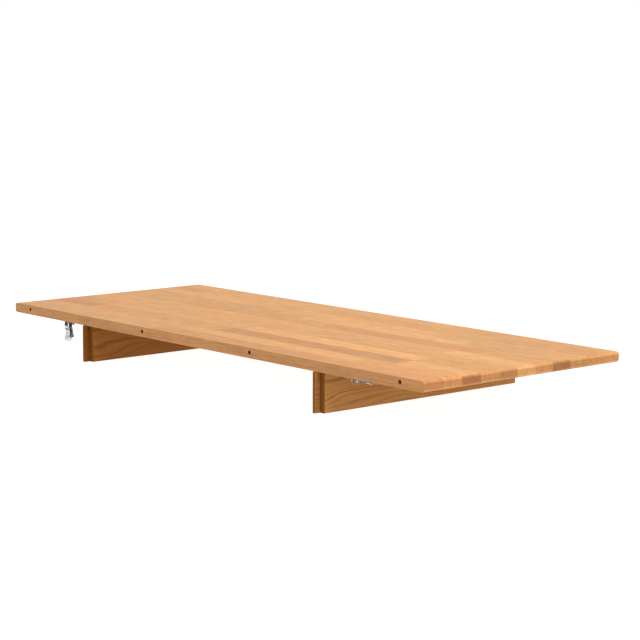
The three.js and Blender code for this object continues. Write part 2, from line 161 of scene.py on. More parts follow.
class Bench:
    """Where a finish lays out the nodes of its material."""

    def __init__(self, name: str) -> None:
        """Starts an empty material with a Principled shader.

        Args:
            name: the material's name.
        """
        self.material = bpy.data.materials.new(name)
        self.material.use_nodes = True
        self.tree = self.material.node_tree
        self.shader = self.tree.nodes["Principled BSDF"]

    def feed(self, socket: bpy.types.NodeSocket, value: object) -> None:
        """Links a wire to a socket, or sets its value.

        Args:
            socket: the input.
            value: a wire, a number, a vector or a colour.
        """
        if isinstance(value, Wire):
            self.tree.links.new(value.socket, socket)
        elif socket.type == "RGBA" and len(value) == 3:
            socket.default_value = (*value, 1.0)
        else:
            socket.default_value = value

    def node(self, kind: str, settings: dict | None = None, **inputs: object) -> bpy.types.Node:
        """Adds any node.

        Args:
            kind: the node's type, without the ShaderNode before it.
            settings: its own settings, set before its sockets.
            inputs: socket names, with _ for a space, and their values or wires.

        Returns:
            The node.
        """
        made = self.tree.nodes.new("ShaderNode" + kind)
        for name, value in (settings or {}).items():
            setattr(made, name, value)
        for name, value in inputs.items():
            wanted = name.replace("_", " ")
            socket = next(s for s in made.inputs if s.enabled and s.name == wanted)
            self.feed(socket, value)
        return made

    def out(self, node: bpy.types.Node, name: str) -> Wire:
        """The node's first live output of that name."""
        return Wire(self, next(s for s in node.outputs if s.enabled and s.name == name))

    def place(self) -> tuple[Wire, Wire, Wire]:
        """The point on the piece, in millimetres of the row frame."""
        point = self.out(self.node("TexCoord"), "Object")
        return tuple(axis * TO_MM for axis in self.split(point))

    def split(self, vector: Wire) -> tuple[Wire, Wire, Wire]:
        """The three numbers of a vector."""
        node = self.node("SeparateXYZ", Vector=vector)
        return tuple(self.out(node, axis) for axis in "XYZ")

    def attribute(self, name: str, output: str = "Vector") -> Wire:
        """A vector stored on the piece's faces, or with the output Fac a number."""
        return self.out(self.node("Attribute", {"attribute_name": name}), output)

    def noise(self, point: Sequence[Wire], size: Place, detail: float = 2.0, rough: float = 0.5) -> Wire:
        """Cloudy noise.

        Args:
            point: where it is read.
            size: of its cells along each axis.
            detail: how many finer layers it has.
            rough: how strong those are.

        Returns:
            The noise, about 0 to 1.
        """
        cells = {axis: spot / length for axis, spot, length in zip("XYZ", point, size)}
        place = self.out(self.node("CombineXYZ", None, **cells), "Vector")
        inputs = {"Vector": place, "Scale": 1.0, "Detail": detail, "Roughness": rough}
        return self.out(self.node("TexNoise", None, **inputs), "Fac")

    def chance(self, value: Number) -> Wire:
        """A fixed chance number, 0 to 1, for each value."""
        return self.out(self.node("TexWhiteNoise", {"noise_dimensions": "1D"}, W=value), "Value")

    def mix(self, share: Number, first: object, second: object) -> Wire:
        """Blends two colours, by a share of the second from 0 to 1."""
        settings = {"data_type": "RGBA", "clamp_factor": True}
        return self.out(self.node("Mix", settings, Factor=share, A=first, B=second), "Result")

    def shade(self, colour: Wire, amount: Number) -> Wire:
        """A colour made lighter or darker by a number, 1 for no change."""
        node = self.node("VectorMath", {"operation": "SCALE"}, Vector=colour, Scale=amount)
        return self.out(node, "Vector")

    def bump(self, height: Wire, depth_mm: float) -> Wire:
        """Relief of that depth for the shader's Normal."""
        node = self.node("Bump", None, Height=height, Distance=depth_mm * MM, Strength=1.0)
        return self.out(node, "Normal")

    def dress(self, **inputs: object) -> Material:
        """Feeds the shader.

        Args:
            inputs: socket names, with _ for a space, and their values or wires.

        Returns:
            The material.
        """
        for name, value in inputs.items():
            self.feed(self.shader.inputs[name.replace("_", " ")], value)
        return self.material


# ---- finishes


class Grain(Enum):
    """Which way the fibres run: the order of along, across and through the board."""

    LENGTHWISE = (0, 1, 2)
    CROSSWISE = (1, 2, 0)


@dataclass(frozen=True)
class OakFinish:
    """Oiled oak, read from the solid log that each board was cut from.

    A mark's size is that of a cell of its noise, along, across and through the wood.
    """

    name: str
    grain: Grain
    summer: Colour  # dense wood between the pore bands
    spring: Colour  # porous wood at the start of each year
    pore: Colour
    red: Colour  # what a warm board leans to
    pale: Colour  # what a cool board leans to
    figure: float = 0.5  # how strongly the years show
    ring: float = 2.7  # a year's growth
    wander: float = 7.0  # how far a ring strays along the log
    wander_size: Triple = (240.0, 60.0, 60.0)
    lean_draw: float = 0.137  # turns a board's place in its log into a chance number
    lean: float = 0.07  # most that a board's faces lean from its log
    spring_share: float = 0.55  # of a year's growth
    faint_year: float = 0.25  # strength of the faintest year
    fibre_size: Triple = (70.0, 1.1, 1.1)
    fibre_colour: float = 0.7
    fibre_shade: float = 0.16
    pore_size: Triple = (6.0, 0.3, 0.3)
    pore_colour: float = 0.7
    stray_pores: float = 0.2  # share of pores outside the spring wood
    ray_size: Triple = (1.0, 14.0, 5.0)  # around the log, out from its middle and along it
    ray_turn: float = 110.0  # cells in a radian
    ray_colour: float = 0.3
    cloud_size: Triple = (170.0, 26.0, 26.0)
    cloud: float = 0.22  # how strong the broad clouds are
    streak_size: Triple = (120.0, 4.5, 4.5)
    streak: float = 0.5  # how strong the long streaks are
    fleck_size: Triple = (42.0, 11.0, 11.0)
    fleck: float = 0.6  # how strong the short flecks are
    mark_red: float = 0.7  # how far a streak or a cloud leans to red
    end_red: float = 0.25  # how far end grain leans to red
    end_lift: float = 0.05  # how much lighter clean end grain is
    tone_reach: float = 0.17  # how much a board's own tone changes it
    joint: float = 0.22  # half-width of a glue line
    joint_dark: float = 0.3
    roughness: float = 0.54
    pore_rough: float = 0.2
    patch_rough: float = 0.12  # clouds and end grain
    relief: float = 0.05

    def make(self) -> Material:
        """Builds the material.

        Returns:
            The material.
        """
        bench = Bench(self.name)
        point = bench.place()
        along, across, through = (point[i] for i in self.grain.value)
        shift = bench.split(bench.attribute("board_shift"))
        low_x, low_y, tone = bench.split(bench.attribute("board_low"))
        high_x, high_y, warmth = bench.split(bench.attribute("board_high"))
        end_dark = bench.attribute("board_end", "Fac")

        g = along + shift[0]
        lean = ((shift[0] * self.lean_draw).put("FRACT") - MIDDLE) * self.lean
        drift = bench.noise((g, across, through), self.wander_size, 1.0) - MIDDLE
        a = across + shift[1] + g * lean
        b = through + shift[2]
        wood = (g, a, b)
        radius = (a * a + b * b).put("SQRT") + drift * (2 * self.wander)
        year = radius / self.ring
        luck = bench.chance(year.put("FLOOR") + shift[0].put("FLOOR"))
        strength = luck * luck * (1 - self.faint_year) + self.faint_year
        spring = year.put("FRACT").ease(self.spring_share, 0.0) * strength

        fibre = bench.noise(wood, self.fibre_size, 3.0, 0.6) - MIDDLE
        pores = bench.noise(wood, self.pore_size, 1.0).ease(0.6, 0.7)
        pores = pores * (spring * (1 - self.stray_pores) + self.stray_pores)
        fan = (b.put("ARCTAN2", a) * self.ray_turn, radius, g)
        rays = bench.noise(fan, self.ray_size, 1.0).ease(0.64, 0.74)
        cloud = bench.noise(wood, self.cloud_size) - MIDDLE
        streak = bench.noise(wood, self.streak_size, 3.0, 0.6) - MIDDLE
        fleck = bench.noise(wood, self.fleck_size, 3.0, 0.65) - MIDDLE

        normal = bench.out(bench.node("TexCoord"), "Normal")
        facing = abs(bench.split(normal)[self.grain.value[0]]).ease(0.35, 0.95)
        edge_x = (point[0] - low_x).put("MINIMUM", high_x - point[0])
        edge_y = (point[1] - low_y).put("MINIMUM", high_y - point[1])
        line = edge_x.put("MINIMUM", edge_y).ease(self.joint * 1.6, self.joint * 0.4)

        banding = spring * self.figure + fibre * self.fibre_colour
        colour = bench.mix(banding, self.summer, self.spring)
        redness = warmth + (streak + cloud) * self.mark_red + facing * (end_dark + self.end_red)
        colour = bench.mix(redness, colour, self.red)
        colour = bench.mix(0 - redness, colour, self.pale)
        colour = bench.mix(pores * self.pore_colour, colour, self.pore)
        colour = bench.mix(rays * self.ray_colour, colour, self.pale)
        board = 1 + tone * self.tone_reach
        patch = 1 + cloud * self.cloud + fibre * self.fibre_shade + streak * self.streak + fleck * self.fleck
        ends = 1 + facing * (self.end_lift - end_dark)
        colour = bench.shade(colour, board * patch * ends * (1 - line * self.joint_dark))
        height = 1 - pores * 0.8 - spring * 0.15 - line * 0.5 + fibre * 0.2  # each as a share of the relief
        rough = self.roughness + pores * self.pore_rough + (cloud + facing) * self.patch_rough
        return bench.dress(
            Base_Color=colour,
            Roughness=rough,
            Normal=bench.bump(height, self.relief),
            Specular_IOR_Level=0.12,
        )


@dataclass(frozen=True)
class SteelFinish:
    """Plated steel with the faint cloudiness and rubbing of a tumbled pressing, and painted shade on its side
    walls.
    """

    name: str
    bright: Colour
    dull: Colour
    roughness: float
    wall: float  # how much darker the side walls are painted, as painted shade
    cloud: float = 3.0  # size of a dull patch
    cloud_dull: float = 0.6
    cloud_rough: float = 0.12
    grit: float = 0.25  # size of the finest pits
    grit_rough: float = 0.1
    grit_relief: float = 0.6  # share of the relief
    scratch: Triple = (4.0, 0.12, 4.0)  # length, width and depth of a rubbing mark
    scratch_dull: float = 0.2
    scratch_rough: float = 0.08
    scratch_relief: float = 0.4
    relief: float = 0.01

    def make(self) -> Material:
        """Builds the material.

        Returns:
            The material.
        """
        bench = Bench(self.name)
        x, y, z = bench.place()
        patch = bench.noise((x, y, z), [self.cloud] * 3, 3.0, 0.6)
        grit = bench.noise((x, y, z), [self.grit] * 3, 2.0, 0.6) - MIDDLE
        rubbed = bench.noise((x + z, y + z, x - y), self.scratch, 1.0).ease(0.6, 0.72)
        worn = patch.ease(0.42, 0.62)
        normal = bench.out(bench.node("TexCoord"), "Normal")
        # painted shade: faces turned along x, the side walls, are darkened by wall
        side = abs(bench.split(normal)[0]).ease(0.5, 0.9)
        colour = bench.mix(worn * self.cloud_dull + rubbed * self.scratch_dull, self.bright, self.dull)
        colour = bench.shade(colour, 1 - side * self.wall)
        rough = self.roughness + worn * self.cloud_rough + grit * self.grit_rough
        return bench.dress(
            Base_Color=colour,
            Metallic=1.0,
            Roughness=rough + rubbed * self.scratch_rough,
            Normal=bench.bump(grit * self.grit_relief - rubbed * self.scratch_relief, self.relief),
        )


# ---- shapes


class Plane(Enum):
    """The plane that a plate's outline is drawn in, as the places of its two axes and of its depth."""

    YZ = (1, 2, 0)
    XZ = (0, 2, 1)
    XY = (0, 1, 2)


def stand(name: str, data: bpy.types.ID) -> bpy.types.Object:
    """Puts an object into the scene.

    Args:
        name: of the object.
        data: its mesh, curve, light or camera.

    Returns:
        The object.
    """
    made = bpy.data.objects.new(name, data)
    bpy.context.scene.collection.objects.link(made)
    return made


def baked(made: bpy.types.Object) -> bpy.types.Mesh:
    """A new mesh of an object as its modifiers or its curve leave it."""
    depsgraph = bpy.context.evaluated_depsgraph_get()
    return bpy.data.meshes.new_from_object(made.evaluated_get(depsgraph))


def rounded(bm: Mesh, edges: list[bmesh.types.BMEdge], reach: float, steps: int) -> None:
    """Rounds edges over that reach, in so many facets."""
    bmesh.ops.bevel(bm, geom=edges, offset=reach, segments=steps, profile=0.5, affect="EDGES", material=-1)


class Shape:
    """A closed shape in the making, in millimetres."""

    def __init__(self) -> None:
        """Starts empty."""
        self.bm = bmesh.new()

    def box(self, low: Place, high: Place) -> "Shape":
        """Adds a block.

        Args:
            low: its lowest corner.
            high: its highest corner.

        Returns:
            The shape itself.
        """
        size = Vector(high) - Vector(low)
        middle = (Vector(high) + Vector(low)) / 2
        matrix = Matrix.Translation(middle) @ Matrix.Diagonal((*size, 1))
        bmesh.ops.create_cube(self.bm, size=1, matrix=matrix)
        return self

    def rod(self, start: Place, run: Place, radius: float, sides: int = ROUND_SIDES) -> "Shape":
        """Adds a round bar.

        Args:
            start: middle of its first end.
            run: from there to the middle of its other end.
            radius: of the bar.
            sides: of its outline.

        Returns:
            The shape itself.
        """
        run = Vector(run)
        turn = run.to_track_quat("Z", "Y").to_matrix().to_4x4()
        matrix = Matrix.Translation(Vector(start) + run / 2) @ turn
        size = {"radius1": radius, "radius2": radius, "depth": run.length}
        bmesh.ops.create_cone(self.bm, cap_ends=True, segments=sides, matrix=matrix, **size)
        return self

    def plate(self, corners: Sequence[Corner], plane: Plane, start: float, depth: float) -> "Shape":
        """Adds a plate cut to an outline.

        Args:
            corners: the outline's corners, each with how far its rounding reaches.
            plane: the plane of the outline.
            start: where the plate starts, across that plane.
            depth: its thickness.

        Returns:
            The shape itself.
        """
        part = bmesh.new()

        def spot(u: float, v: float, w: float) -> Vector:
            """The point at u and v in the plane and at w across it."""
            return Vector([place for _, place in sorted(zip(plane.value, (u, v, w)))])

        run = spot(0, 0, depth)
        sheet = part.faces.new([part.verts.new(spot(u, v, start)) for u, v, _ in corners])
        moved = bmesh.ops.extrude_face_region(part, geom=[sheet])["geom"]
        bmesh.ops.translate(part, vec=run, verts=[v for v in moved if isinstance(v, bmesh.types.BMVert)])
        for u, v, reach in corners:
            if reach > 0:
                middle = spot(u, v, start) + run / 2
                edge = min(part.edges, key=lambda e: ((e.verts[0].co + e.verts[1].co) / 2 - middle).length)
                rounded(part, [edge], reach, CORNER_STEPS)
        return self._take(part)

    def turned(self, profile: Sequence[Pair]) -> "Shape":
        """Adds a piece turned about the upright axis.

        Args:
            profile: its outline's radius and height, point by point.

        Returns:
            The shape itself.
        """
        part = bmesh.new()
        points = [part.verts.new((radius, 0, height)) for radius, height in profile]
        edges = [part.edges.new(pair) for pair in zip(points, points[1:])]
        turn = {"axis": (0, 0, 1), "angle": math.tau, "steps": ROUND_SIDES, "use_merge": True}
        bmesh.ops.spin(part, geom=[*points, *edges], cent=(0, 0, 0), **turn)
        return self._take(part)

    def wire(self, path: bpy.types.Curve) -> "Shape":
        """Adds a bent wire.

        Args:
            path: a curve with a round section.

        Returns:
            The shape itself.
        """
        holder = stand("wire", path)
        mesh = baked(holder)
        part = bmesh.new()
        part.from_mesh(mesh)
        bpy.data.objects.remove(holder)
        bpy.data.meshes.remove(mesh)
        return self._take(part)

    def merged(self, other: "Shape") -> "Shape":
        """Fuses another shape with this one."""
        return self._boolean(other, "UNION")

    def carved(self, other: "Shape") -> "Shape":
        """Cuts another shape away."""
        return self._boolean(other, "DIFFERENCE")

    def moved(self, matrix: Matrix) -> "Shape":
        """Turns and moves the whole shape."""
        bmesh.ops.transform(self.bm, matrix=matrix, verts=self.bm.verts)
        return self

    def piece(self, name: str, material: Material, rounding: float = 0.0) -> bpy.types.Object:
        """Turns the shape into a finished object in metres.

        Args:
            name: of the object.
            material: its finish.
            rounding: how far its sharp edges are broken.

        Returns:
            The object, at the origin.
        """
        bmesh.ops.remove_doubles(self.bm, verts=self.bm.verts, dist=WELD)
        bmesh.ops.scale(self.bm, vec=(MM, MM, MM), verts=self.bm.verts)
        mesh = bpy.data.meshes.new(name)
        self.bm.to_mesh(mesh)
        self.bm.free()
        mesh.shade_smooth()
        mesh.set_sharp_from_angle(angle=math.radians(SHARP_DEG))
        mesh.materials.append(material)
        made = stand(name, mesh)
        if rounding:
            broken = made.modifiers.new("broken edges", "BEVEL")
            broken.width = rounding * MM
            broken.segments = BREAK_STEPS
            broken.limit_method = "ANGLE"
            broken.angle_limit = math.radians(BREAK_DEG)
        even = made.modifiers.new("even shading", "WEIGHTED_NORMAL")
        even.keep_sharp = True
        return made

    def _take(self, part: Mesh) -> "Shape":
        """Adds the contents of a bmesh, which is used up.

        Args:
            part: the bmesh.

        Returns:
            The shape itself.
        """
        bmesh.ops.remove_doubles(part, verts=part.verts, dist=WELD)
        bmesh.ops.recalc_face_normals(part, faces=part.faces)
        mesh = bpy.data.meshes.new("part")
        part.to_mesh(mesh)
        part.free()
        self.bm.from_mesh(mesh)
        bpy.data.meshes.remove(mesh)
        return self

    def _loose(self) -> bpy.types.Object:
        """A passing object for a modifier to work on.

        Returns:
            The object.
        """
        mesh = bpy.data.meshes.new("loose")
        self.bm.to_mesh(mesh)
        return stand("loose", mesh)

    def _boolean(self, other: "Shape", operation: str) -> "Shape":
        """Joins or cuts with another shape, which is used up.

        Args:
            other: the second shape.
            operation: the Boolean modifier's operation.

        Returns:
            The shape itself.
        """
        body, tool = self._loose(), other._loose()
        step = body.modifiers.new("step", "BOOLEAN")
        step.operation = operation
        step.solver = "EXACT"
        step.object = tool
        result = baked(body)
        self.bm.clear()
        self.bm.from_mesh(result)
        other.bm.free()
        for spent in (body, tool):
            mesh = spent.data
            bpy.data.objects.remove(spent)
            bpy.data.meshes.remove(mesh)
        bpy.data.meshes.remove(result)
        return self


def fit(piece: bpy.types.Object, body: str, slot: str, *nodes: str) -> None:
    """Hangs a finished piece on its body in place of CAD nodes.

    Args:
        piece: the finished object.
        body: the CAD body it rides on.
        slot: the record's material slot; not used.
        nodes: the CAD nodes it stands for.
    """
    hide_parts(*nodes)
    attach(piece, body)
    log.info("%s: %d faces on %s", piece.name, len(piece.data.polygons), body)


def box_mm(node: str) -> tuple[Vector, Vector]:
    """Lowest and highest corner of a CAD node, in millimetres."""
    low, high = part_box(node)
    return low * TO_MM, high * TO_MM


# ---- screws


@dataclass
class Screw:
    """A pan-head screw pointing up, with a cross recess."""

    node: str
    radius: float = 2.0
    head_height: float = 2.6
    pitch: float = 1.4
    dome: float = 0.65  # share of the head that is domed
    dome_steps: int = 6
    core: float = 0.78  # share of the radius inside the thread
    root: float = 0.3  # where the thread is lowest, as a share of a turn
    crest: float = 0.6  # and where it is highest
    point: float = 1.6  # length of the point, in radii
    clear: float = 3.0  # end without thread, in radii
    arm: float = 0.5  # reach of the recess, in head radii
    slot: float = 0.11  # half its width, in head radii
    recess: float = 0.55  # its depth, in head heights

    def __post_init__(self) -> None:
        """Takes its place and size from the frame."""
        low, high = box_mm(self.node)
        self.foot = Vector(((low.x + high.x) / 2, (low.y + high.y) / 2, low.z))  # middle of the crown
        self.length = high.z - low.z
        self.head_radius = (high.x - low.x) / 2

    def build(self) -> Shape:
        """Turns the screw with its thread and cuts its recess.

        Returns:
            The screw's shape.
        """
        profile = [(0.0, 0.0)]
        for step in range(1, self.dome_steps + 1):
            swing = math.tau / 4 * step / self.dome_steps
            rise = self.head_height * self.dome * (1 - math.cos(swing))
            profile.append((self.head_radius * math.sin(swing), rise))
        profile += [(self.head_radius, self.head_height), (self.radius, self.head_height)]
        core = self.radius * self.core
        for turn in range(int((self.length - self.head_height - self.clear * self.radius) / self.pitch)):
            base = self.head_height + self.pitch * (turn + 1)
            profile += [(core, base + self.root * self.pitch), (self.radius, base + self.crest * self.pitch)]
        profile += [(core, self.length - self.point * self.radius), (0.0, self.length)]
        shape = Shape().turned(profile)
        arm, slot = self.head_radius * self.arm, self.head_radius * self.slot
        for x, y in ((arm, slot), (slot, arm)):
            shape.carved(Shape().box((-x, -y, -PAST), (x, y, self.head_height * self.recess)))
        return shape.moved(Matrix.Translation(self.foot))

    def dress(self, steel: Material) -> None:
        """Builds the screw in its finish."""
        fit(self.build().piece(self.node + "_turned", steel), "leaf", "screw_steel", self.node)


# ---- glued oak panel


@dataclass(frozen=True)
class Board:
    """One board: its extent along and across the leaf, and how its wood looks."""

    low: Pair
    high: Pair
    tone: float
    warmth: float
    shift: Sequence[float]  # where in its log it lay
    end_dark: float  # how dark its end grain has drunk

    def holds(self, x: float, y: float) -> bool:
        """Whether a point lies on this board."""
        return self.low[0] <= x <= self.high[0] and self.low[1] <= y <= self.high[1]


def stamp(bm: Mesh, boards: Sequence[Board]) -> None:
    """Writes each face's board onto it, for the oak finish to read.

    Args:
        bm: the mesh, in millimetres.
        boards: the boards that the mesh is cut into.
    """
    names = ("board_low", "board_high", "board_shift")
    low, high, shift = (bm.faces.layers.float_vector.new(name) for name in names)
    end = bm.faces.layers.float.new("board_end")
    for face in bm.faces:
        middle = face.calc_center_median()
        board = min(boards, key=lambda b: not b.holds(middle.x, middle.y))
        face[low] = (*board.low, board.tone)
        face[high] = (*board.high, board.warmth)
        face[shift] = board.shift
        face[end] = board.end_dark


@dataclass(frozen=True)
class Standout:
    """A stave whose colour stands out from its neighbours."""

    row: int
    start: float
    end: float
    tone: float
    warmth: float


@dataclass
class GluedPanel:
    """The top: staves of oak glued edge to edge, with a square joint edge and three rounded ones."""

    low: Vector
    high: Vector
    arris: float = 6.0
    corner: float = 8.0
    rows: int = 11
    shortest: float = 330.0
    longest: float = 620.0
    bore_radius: float = 4.0
    bore_depth: float = 30.0
    bore_below_top: float = 9.0
    bore_insets: tuple[float, ...] = (60.0, 476.5)
    pilot_extra: float = 0.5  # how much deeper a pilot hole is than its screw
    # painted shade inside the dowel bores, given as a board tone
    bore_shade_tone: float = -4.0
    seed: int = 23
    first_share: Pair = (0.25, 1.0)  # length of a row's first stave, as a share of a whole one
    tones: Pair = (-0.5, 0.5)
    warmths: Pair = (0.05, 0.24)  # middle and spread
    log_reach: tuple[Pair, ...] = ((0, 4000), (-45, 45), (-130, -95))  # along, across and through the log
    end_darks: Pair = (0.0, 0.35)
    clean: float = 0.3  # what is left of that at the leaf's end
    least_before: float = 60.0  # a stave that ends nearer a standout runs up to it
    least_last: float = 90.0  # and nearer the leaf's end, up to that
    standouts: tuple[Standout, ...] = (
        Standout(0, 500, 1010, -0.5, 0.3),
        Standout(0, 1010, 1300, -0.1, 0.45),
        Standout(1, 530, 1060, 0.2, 0.0),
        Standout(2, 605, 1130, -0.85, 0.5),
        Standout(2, 1130, 1300, 0.5, 0.05),
        Standout(3, 810, 1130, 0.65, 0.0),
        Standout(3, 1130, 1235, -0.45, 0.1),
        Standout(6, 1140, 1300, -0.35, 0.15),
        Standout(6, 240, 700, -0.3, 0.1),
        Standout(2, 0, 150, -0.6, 0.5),
        Standout(0, 0, 500, -0.45, -0.3),
        Standout(1, 1060, 1300, 0.1, 0.3),
    )
    dark_ends: tuple[tuple[int, float], ...] = (  # row and amount
        (0, 0.13), (1, 0.08), (2, 0.43), (4, 0.24), (7, 0.4), (8, 0.14))
    boards: list[Board] = field(default_factory=list)

    def lay(self) -> None:
        """Sets out the staves, row by row."""
        dice = random.Random(self.seed)
        length = self.high.x - self.low.x
        width = (self.high.y - self.low.y) / self.rows
        for row in range(self.rows):
            chosen = {s.start: s for s in self.standouts if s.row == row}
            place = 0.0
            first = dice.uniform(*self.first_share)
            while place < length:
                run = dice.uniform(self.shortest, self.longest) * (first if place == 0 else 1)
                tone = dice.uniform(*self.tones)
                warmth = dice.gauss(*self.warmths)
                shift = [dice.uniform(*reach) for reach in self.log_reach]
                end = place + run
                if place in chosen:
                    end, tone, warmth = chosen[place].end, chosen[place].tone, chosen[place].warmth
                end = min((s for s in chosen if place < s < end + self.least_before), default=end)
                end_dark = dice.uniform(*self.end_darks)
                if end > length - self.least_last:
                    end = length
                    end_dark = dict(self.dark_ends).get(row, end_dark * self.clean)
                y = self.low.y + row * width
                low, high = (self.low.x + place, y), (self.low.x + end, y + width)
                shift[1] -= y + width / 2
                self.boards.append(Board(low, high, tone, warmth, shift, end_dark))
                place = end

    def build(self) -> Shape:
        """Makes the slab, rounds it, drills it and cuts it along its glue lines.

        Returns:
            The panel's shape.
        """
        shape = Shape().box(self.low, self.high)
        bm = shape.bm

        def at(edge: bmesh.types.BMEdge, axis: int, value: float) -> bool:
            """Whether both ends of an edge have that coordinate."""
            return all(abs(v.co[axis] - value) < WELD for v in edge.verts)

        upright = [
            e for e in bm.edges if at(e, 1, self.high.y) and abs(e.verts[0].co.z - e.verts[1].co.z) > WELD]
        rounded(bm, upright, self.corner, RIM_STEPS)
        rims = [
            e for e in bm.edges
            if (at(e, 2, self.low.z) or at(e, 2, self.high.z)) and not at(e, 1, self.low.y)]
        rounded(bm, rims, self.arris, RIM_STEPS)
        bores = Shape()
        height = self.high.z - self.bore_below_top
        for inset in self.bore_insets:
            for x in (self.low.x + inset, self.high.x - inset):
                start = (x, self.low.y - PAST, height)
                bores.rod(start, (0, self.bore_depth + PAST, 0), self.bore_radius)
        for side in SIDES:
            for end, radius in SCREW_HOLES.items():
                screw = Screw(f"{side}_{end}")
                start = (screw.foot.x, screw.foot.y, self.low.z - PAST)
                tip = screw.foot.z + screw.length + self.pilot_extra
                bores.rod(start, (0, 0, tip - start[2]), radius, HOLE_SIDES)
        shape.carved(bores)
        for board in self.boards:
            if board.low[0] == self.low.x and board.low[1] > self.low.y:
                self._part(bm, bm.faces, (0, board.low[1], 0), (0, 1, 0))
        for board in self.boards:
            if board.low[0] > self.low.x:
                middle = (board.low[1] + board.high[1]) / 2
                reach = (board.high[1] - board.low[1]) / 2
                row = [f for f in bm.faces if abs(f.calc_center_median().y - middle) < reach]
                self._part(bm, row, (board.low[0], 0, 0), (1, 0, 0))
        stamp(bm, self.boards)
        self._paint_bore_shade(bm)
        return shape

    def _paint_bore_shade(self, bm: Mesh) -> None:
        """Darkens the walls of the dowel bores, as painted shade inside the holes.

        Args:
            bm: the panel's stamped mesh.
        """
        low = bm.faces.layers.float_vector["board_low"]
        height = self.high.z - self.bore_below_top
        for face in bm.faces:
            middle = face.calc_center_median()
            off_end = min(middle.x - self.low.x, self.high.x - middle.x)
            near = min(abs(off_end - inset) for inset in self.bore_insets) < self.bore_radius
            deep = WELD < middle.y - self.low.y < self.bore_depth + PAST
            if near and deep and abs(middle.z - height) < self.bore_radius:
                # painted shade: the bore wall takes a very dark tone
                face[low] = (*face[low][:2], self.bore_shade_tone)

    def _part(self, bm: Mesh, faces: Sequence, spot: Place, across: Place) -> None:
        """Cuts faces along a plane, through the point spot and square to across."""
        parts = {*faces, *(e for f in faces for e in f.edges), *(v for f in faces for v in f.verts)}
        bmesh.ops.bisect_plane(bm, geom=list(parts), dist=WELD, plane_co=spot, plane_no=across)

    def dress(self, oak: Material) -> None:
        """Builds the panel in its finish."""
        self.lay()
        fit(self.build().piece("glued_panel", oak, 0.4), "leaf", "oak_panel", "top_panel")


# ---- bearers


@dataclass
class Bearer:
    """An upright board under the panel, with a tongue at its front end and three screws sunk from below."""

    side: str
    low: Vector
    high: Vector
    log_shift: Triple  # where in its log the board lay
    tongue: float = 7.0
    shoulder: float = 12.0  # tongue's end to the shoulder beside it
    arris: float = 2.0
    eased: float = 0.6
    bore: float = 4.5  # radius of a counterbore
    seat: float = 46.0  # height of its floor
    warmth: float = 0.0
    tone: float = 0.0
    end_dark: float = 0.6
    # painted shade on the tongue's cheek, in the rebate
    cheek_shade_tone: float = 0.45
    cheek_shade_warmth: float = 0.5

    def screws(self) -> list[Screw]:
        """Its three screws, from the front."""
        return [Screw(f"{self.side}_bearer_screw_{number}") for number in (1, 2, 3)]

    def build(self) -> Shape:
        """Makes the board with its rebate and counterbores.

        Returns:
            The bearer's shape.
        """
        (x0, y0, z0), (x1, y1, z1) = self.low, self.high
        step, cheek = y0 + self.shoulder, x0 + self.tongue
        outline = [(x0, y0, 0), (cheek, y0, 0), (cheek, step, 0), (x1, step, 0), (x1, y1, 0), (x0, y1, 0)]
        shape = Shape().plate(outline, Plane.XY, z0, z1 - z0)
        foot = [e for e in shape.bm.edges if all(abs(v.co.z - z0) < WELD for v in e.verts)]
        lengthwise = [e for e in foot if abs(e.verts[0].co.y - e.verts[1].co.y) > 2 * self.shoulder]
        rounded(shape.bm, lengthwise, self.arris, ARRIS_STEPS)
        ends = [
            e for e in shape.bm.edges
            if abs(e.verts[0].co.z - e.verts[1].co.z) > (z1 - z0) / 2
            and min(abs(e.verts[0].co.x - cheek), abs(e.verts[0].co.y - step)) > WELD]
        rounded(shape.bm, ends, self.eased, BREAK_STEPS)
        bores = Shape()
        for screw in self.screws():
            x, y, _ = screw.foot
            bores.rod((x, y, z0 - PAST), (0, 0, self.seat - z0 + PAST), self.bore)
            bores.rod((x, y, self.seat - PAST), (0, 0, z1 + 2 * PAST - self.seat), BEARER_HOLE, HOLE_SIDES)
        shape.carved(bores)
        low, high = (x0 - PAST, y0 - PAST), (x1 + PAST, y1 + PAST)
        stamp(shape.bm, [Board(low, high, self.tone, self.warmth, self.log_shift, self.end_dark)])
        self._paint_cheek_shade(shape.bm, cheek)
        return shape

    def _paint_cheek_shade(self, bm: Mesh, cheek: float) -> None:
        """Darkens and reddens the cheek of the tongue, as painted shade in the rebate.

        Args:
            bm: the bearer's stamped mesh.
            cheek: how far along the leaf it stands.
        """
        low = bm.faces.layers.float_vector["board_low"]
        high = bm.faces.layers.float_vector["board_high"]
        for face in bm.faces:
            if abs(face.calc_center_median().x - cheek) < WELD:
                face[low] = (*face[low][:2], self.tone - self.cheek_shade_tone)
                face[high] = (*face[high][:2], self.warmth + self.cheek_shade_warmth)

    def dress(self, oak: Material, steel: Material) -> None:
        """Builds the bearer and its screws in their finishes.

        Args:
            oak: the board's finish.
            steel: the screws'.
        """
        name = f"{self.side}_bearer"
        fit(self.build().piece(name + "_board", oak, 0.3), "leaf", "oak_bearer", name)
        for screw in self.screws():
            screw.dress(steel)


# ---- toggle catches


